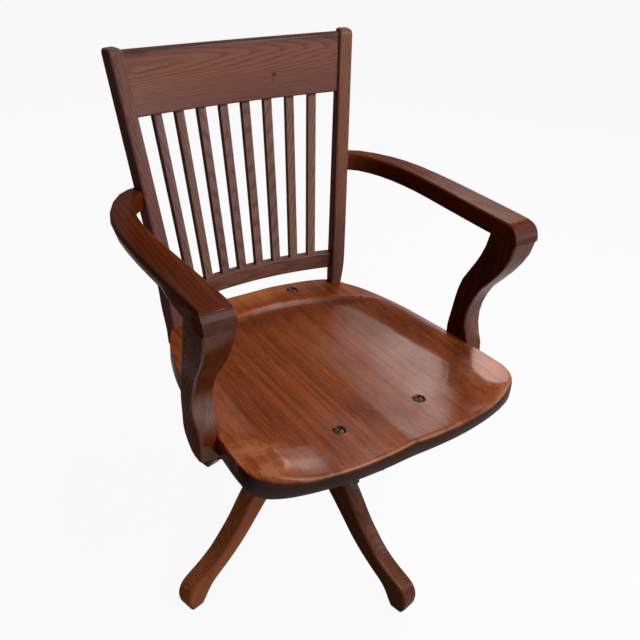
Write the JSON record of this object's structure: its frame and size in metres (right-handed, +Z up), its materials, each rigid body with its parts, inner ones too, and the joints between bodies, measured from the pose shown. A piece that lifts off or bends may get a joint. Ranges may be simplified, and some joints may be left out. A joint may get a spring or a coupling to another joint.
{
  "type": "bankers swivel chair",
  "caption": "Oak swivel armchair with saddle seat, slatted back, curved arms and splayed four-leg base, on a height screw with a sprung tilt.",
  "frame": {"origin": "on the floor, under the middle of the whole chair's length and width", "axes": "+Z up, -Y towards the front of the seat, +X to the sitter's left as the chair faces -Y; the swivel axis is vertical, 1.9 mm in front of the origin"},
  "size_m": [0.608, 0.5967, 0.905],
  "materials": {
    "seat_oak": "stained, semi-gloss, worn",
    "frame_oak": "dark stained, semi-gloss",
    "arm_oak": "stained, semi-gloss, worn on top",
    "leg_oak": "dark stained, semi-gloss",
    "dowel_wood": "bare, plain",
    "black_iron": "black japanned, satin",
    "dark_steel": "browned with age",
    "plain_steel": "oiled, satin"
  },
  "bodies": {
    "base": {"base_hub": "leg_oak", "leg_front_right": "leg_oak", "leg_rear_right": "leg_oak", "leg_rear_left": "leg_oak", "leg_front_left": "leg_oak", "socket_tube": "black_iron", "socket_screw_1": "plain_steel", "socket_screw_2": "plain_steel", "socket_screw_3": "plain_steel", "socket_screw_4": "plain_steel", "thrust_washer": "plain_steel"},
    "swivel": {"swivel_sleeve": "black_iron", "spindle_key": "plain_steel"},
    "handwheel": {"height_handwheel": "black_iron"},
    "column": {"height_spindle": "plain_steel", "tilt_yoke": "black_iron", "tilt_pivot_pin": "plain_steel", "tension_spring": "plain_steel"},
    "seat": {"seat_plank": "seat_oak", "seat_spider": "black_iron", "seat_bolt_front_left": "dark_steel", "seat_bolt_front_right": "dark_steel", "seat_bolt_rear_left": "dark_steel", "seat_bolt_rear_right": "dark_steel", "bolt_nut_front_left": "dark_steel", "bolt_nut_front_right": "dark_steel", "bolt_nut_rear_left": "dark_steel", "bolt_nut_rear_right": "dark_steel", "crest_rail": "frame_oak", "lower_rail": "frame_oak", "stile_right": "frame_oak", "stile_left": "frame_oak", "slat_1": "frame_oak", "slat_2": "frame_oak", "slat_3": "frame_oak", "slat_4": "frame_oak", "slat_5": "frame_oak", "slat_6": "frame_oak", "slat_7": "frame_oak", "slat_8": "frame_oak", "arm_rail_right": "arm_oak", "arm_rail_left": "arm_oak", "arm_post_right": "frame_oak", "arm_post_left": "frame_oak", "arm_dowel_right": "dowel_wood", "arm_dowel_left": "dowel_wood", "stile_dowel_right": "dowel_wood", "stile_dowel_left": "dowel_wood", "post_front_dowel_right": "dowel_wood", "post_front_dowel_left": "dowel_wood", "post_rear_dowel_right": "dowel_wood", "post_rear_dowel_left": "dowel_wood", "rod_eye_pin": "plain_steel"},
    "tension_rod": {"tension_rod": "plain_steel", "spring_washer": "plain_steel"},
    "tension_knob": {"tension_knob": "black_iron"}
  },
  "joints": [
    {"name": "swivel", "type": "hinge", "parent": "base", "child": "swivel", "pos_m": [0, -0.0019, 0.31], "axis": [0, 0, 1], "continuous": true},
    {"name": "handwheel_turn", "type": "hinge", "parent": "swivel", "child": "handwheel", "pos_m": [0, -0.0019, 0.328], "axis": [0, 0, 1], "range_deg": [0, 4500]},
    {"name": "height", "type": "slide", "parent": "swivel", "child": "column", "axis": [0, 0, 1], "range_m": [0, 0.075]},
    {"name": "seat_tilt", "type": "hinge", "parent": "column", "child": "seat", "pos_m": [0, -0.0019, 0.378], "axis": [-1, 0, 0], "range_deg": [0, 15], "stiffness_Nm_per_rad": 120, "springref_deg": -8.59, "deforming": ["tension_spring"]},
    {"name": "rod_swing", "type": "hinge", "parent": "seat", "child": "tension_rod", "pos_m": [0, -0.1419, 0.361], "axis": [-1, 0, 0], "range_deg": [-15, 0]},
    {"name": "tension_knob_turn", "type": "hinge", "parent": "tension_rod", "child": "tension_knob", "pos_m": [0, -0.1419, 0.253], "axis": [0, 0, 1], "range_deg": [-720, 720]}
  ],
  "couplings": [
    {"joint": "height", "follows": "handwheel_turn", "m_per_rad": 0.00095493},
    {"joint": "rod_swing", "follows": "seat_tilt", "ratio": -1}
  ]
}
